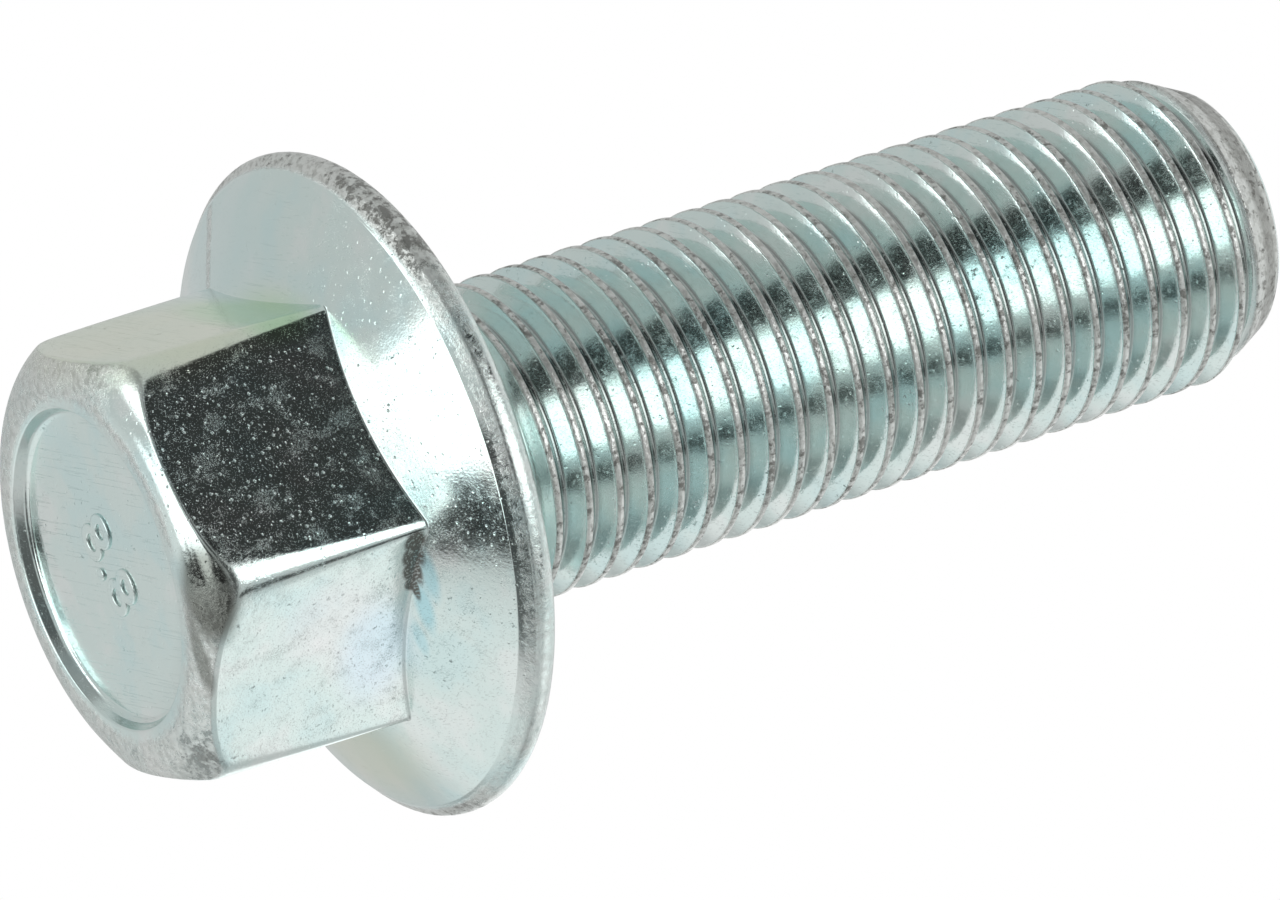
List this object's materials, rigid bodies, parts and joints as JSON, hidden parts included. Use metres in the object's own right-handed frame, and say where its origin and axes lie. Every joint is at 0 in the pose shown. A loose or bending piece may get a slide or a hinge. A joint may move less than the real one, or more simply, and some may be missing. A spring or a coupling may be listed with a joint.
{
  "type": "hexagon flange bolt",
  "caption": "Fully threaded hexagon flange bolt with a right-hand metric fine thread, soft chamfered point, cone-topped round flange and shallow recess in the head.",
  "frame": {"origin": "centre of the bearing face under the flange, on the bolt's axis", "axes": "+Z along the shank from the head to the point, +X through a corner of the hexagon"},
  "size_m": [0.0286, 0.0286, 0.0557],
  "materials": {
    "zinc_plate": "cold-forged steel, zinc plated with a clear pale blue passivation, matt grey and pitted on the rim, crown and thread crests"
  },
  "bodies": {
    "root": {"flange_bolt": "zinc_plate"}
  },
  "joints": []
}
